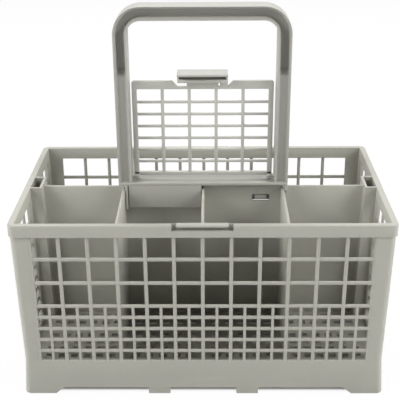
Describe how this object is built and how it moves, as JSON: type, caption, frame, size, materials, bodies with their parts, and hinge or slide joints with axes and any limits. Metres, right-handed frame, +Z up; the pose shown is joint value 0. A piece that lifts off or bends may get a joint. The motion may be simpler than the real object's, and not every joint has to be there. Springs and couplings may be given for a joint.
{
  "type": "dishwasher cutlery basket",
  "caption": "Open rectangular plastic basket with gridded walls, inner dividers, an arched carrying handle and a folding gridded lid, for holding cutlery in a dishwasher.",
  "frame": {"origin": "on the surface that the feet stand on, under the middle of the basket", "axes": "+X along the basket's length, +Y from its front to its back, +Z up through the handle"},
  "size_m": [0.24, 0.14, 0.2438],
  "materials": {
    "basket_plastic": "moulded warm grey polypropylene, fine matt texture",
    "handle_plastic": "moulded warm grey polypropylene, fine matt texture",
    "lid_plastic": "moulded warm grey polypropylene, fine matt texture"
  },
  "bodies": {
    "basket_body": {"basket": "basket_plastic", "handle": "handle_plastic"},
    "lid_body": {"lid": "lid_plastic"}
  },
  "joints": [
    {"name": "lid_fold", "type": "hinge", "parent": "basket_body", "child": "lid_body", "pos_m": [0, 0, 0.1284], "axis": [1, 0, 0], "range_deg": [0, 90]}
  ]
}
